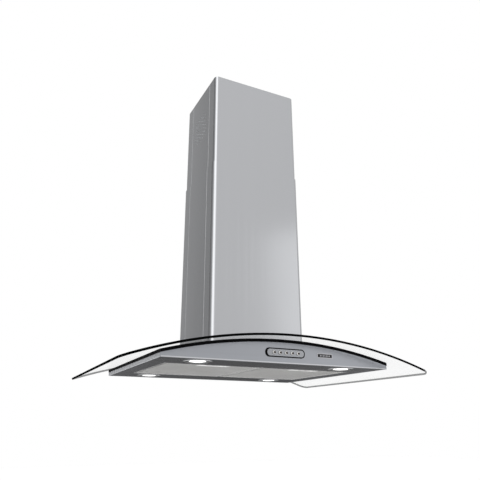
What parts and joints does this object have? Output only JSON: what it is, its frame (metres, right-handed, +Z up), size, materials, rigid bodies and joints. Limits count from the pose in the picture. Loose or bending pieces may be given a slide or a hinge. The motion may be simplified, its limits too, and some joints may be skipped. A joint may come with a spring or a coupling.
{
  "type": "island range hood",
  "caption": "Ceiling-hung island range hood: steel chimney in telescoping sections over a low canopy under an arched glass plate, with grease filters, lamps and push buttons.",
  "frame": {"origin": "centre of the ceiling plate's upper face, which is also the centre of its bolt pattern", "axes": "+Z up along the chimney, -Y towards the front with the controls, +X to the right seen from the front"},
  "size_m": [0.9, 0.67, 0.9749],
  "materials": {
    "cover_steel": "satin brushed along the height",
    "case_steel": "satin brushed along the width",
    "pan_steel": "satin brushed, in shade",
    "zinc_steel": "galvanised sheet",
    "screw_steel": "bright zinc plate",
    "canopy_glass": "clear toughened, polished edges that look dark",
    "seal_rubber": "black, slightly glossy",
    "bezel_chrome": "polished",
    "lamp_lens": "frosted, lit from behind",
    "lamp_body": "die cast",
    "control_steel": "satin brushed",
    "button_steel": "satin with bright edge",
    "black_plastic": "moulded",
    "badge_dark": "dark gloss with a fine light border",
    "flap_plastic": "moulded",
    "impeller_metal": "pressed",
    "motor_metal": "cast",
    "filter_alloy": "anodised satin",
    "filter_mesh": "layers of expanded mesh"
  },
  "bodies": {
    "ceiling_fixed": {"ceiling_plate": "zinc_steel", "cover_screws": "screw_steel", "upper_uprights": "zinc_steel", "upper_cover_front": "cover_steel", "upper_cover_back": "cover_steel", "upper_cover_left_strip": "cover_steel", "upper_cover_right_strip": "cover_steel"},
    "hood": {"front_panel": "case_steel", "back_panel": "case_steel", "left_side_panel": "case_steel", "right_side_panel": "case_steel", "top_plate": "case_steel", "underside_pan": "pan_steel", "filter_seat": "pan_steel", "lower_uprights": "zinc_steel", "glass_clamp_tray": "zinc_steel", "tray_pillars": "zinc_steel", "blower_box": "zinc_steel", "motor_spider": "zinc_steel", "height_lock_screws": "screw_steel", "tray_bolts": "screw_steel", "glass_canopy": "canopy_glass", "glass_seals": "seal_rubber", "lamp_bezel_front_left": "bezel_chrome", "lamp_bezel_front_right": "bezel_chrome", "lamp_bezel_back_left": "bezel_chrome", "lamp_bezel_back_right": "bezel_chrome", "lamp_lenses": "lamp_lens", "lamp_cans": "lamp_body", "control_plate": "control_steel", "control_rim": "black_plastic", "switch_block": "black_plastic", "fan_scroll": "black_plastic", "outlet_collar": "black_plastic", "cable_gland": "black_plastic", "control_box": "black_plastic", "lamp_driver": "black_plastic", "badge_plate": "badge_dark", "fan_motor": "motor_metal", "run_capacitor": "motor_metal"},
    "lower_chimney": {"lower_cover_front": "cover_steel", "lower_cover_back": "cover_steel", "lower_cover_left_strip": "cover_steel", "lower_cover_right_strip": "cover_steel"},
    "impeller": {"fan_impeller": "impeller_metal"},
    "flap_front": {"damper_flap_front": "flap_plastic"},
    "flap_back": {"damper_flap_back": "flap_plastic"},
    "filter_left": {"filter_frame_left": "filter_alloy", "filter_mesh_left": "filter_mesh", "filter_pull_left": "filter_alloy"},
    "filter_right": {"filter_frame_right": "filter_alloy", "filter_mesh_right": "filter_mesh", "filter_pull_right": "filter_alloy"},
    "latch_left": {"filter_latch_left": "filter_alloy"},
    "latch_right": {"filter_latch_right": "filter_alloy"},
    "button_1": {"push_button_1": "button_steel"},
    "button_2": {"push_button_2": "button_steel"},
    "button_3": {"push_button_3": "button_steel"},
    "button_4": {"push_button_4": "button_steel"},
    "button_5": {"push_button_5": "button_steel"}
  },
  "joints": [
    {"name": "height_adjust", "type": "slide", "parent": "ceiling_fixed", "child": "hood", "axis": [0, 0, 1], "range_m": [-0.09, 0.12]},
    {"name": "chimney_lift", "type": "slide", "parent": "hood", "child": "lower_chimney", "axis": [0, 0, 1], "range_m": [0, 0.18]},
    {"name": "impeller_spin", "type": "hinge", "parent": "hood", "child": "impeller", "pos_m": [0, 0, -0.784], "axis": [1, 0, 0], "continuous": true},
    {"name": "flap_front_swing", "type": "hinge", "parent": "hood", "child": "flap_front", "pos_m": [0, -0.0035, -0.664], "axis": [-1, 0, 0], "range_deg": [0, 80]},
    {"name": "flap_back_swing", "type": "hinge", "parent": "hood", "child": "flap_back", "pos_m": [0, 0.0035, -0.664], "axis": [1, 0, 0], "range_deg": [0, 80]},
    {"name": "filter_left_drop", "type": "hinge", "parent": "hood", "child": "filter_left", "pos_m": [-0.145, 0.158, -0.9592], "axis": [1, 0, 0], "range_deg": [0, 75]},
    {"name": "latch_left_pull", "type": "slide", "parent": "filter_left", "child": "latch_left", "axis": [0, 1, 0], "range_m": [0, 0.005], "stiffness_N_per_m": 400, "springref_m": -0.002},
    {"name": "filter_right_drop", "type": "hinge", "parent": "hood", "child": "filter_right", "pos_m": [0.145, 0.158, -0.9592], "axis": [1, 0, 0], "range_deg": [0, 75]},
    {"name": "latch_right_pull", "type": "slide", "parent": "filter_right", "child": "latch_right", "axis": [0, 1, 0], "range_m": [0, 0.005], "stiffness_N_per_m": 400, "springref_m": -0.002},
    {"name": "button_1_press", "type": "slide", "parent": "hood", "child": "button_1", "axis": [0, 1, 0], "range_m": [0, 0.0022], "stiffness_N_per_m": 600, "springref_m": -0.001},
    {"name": "button_2_press", "type": "slide", "parent": "hood", "child": "button_2", "axis": [0, 1, 0], "range_m": [0, 0.0022], "stiffness_N_per_m": 600, "springref_m": -0.001},
    {"name": "button_3_press", "type": "slide", "parent": "hood", "child": "button_3", "axis": [0, 1, 0], "range_m": [0, 0.0022], "stiffness_N_per_m": 600, "springref_m": -0.001},
    {"name": "button_4_press", "type": "slide", "parent": "hood", "child": "button_4", "axis": [0, 1, 0], "range_m": [0, 0.0022], "stiffness_N_per_m": 600, "springref_m": -0.001},
    {"name": "button_5_press", "type": "slide", "parent": "hood", "child": "button_5", "axis": [0, 1, 0], "range_m": [0, 0.0022], "stiffness_N_per_m": 600, "springref_m": -0.001}
  ]
}
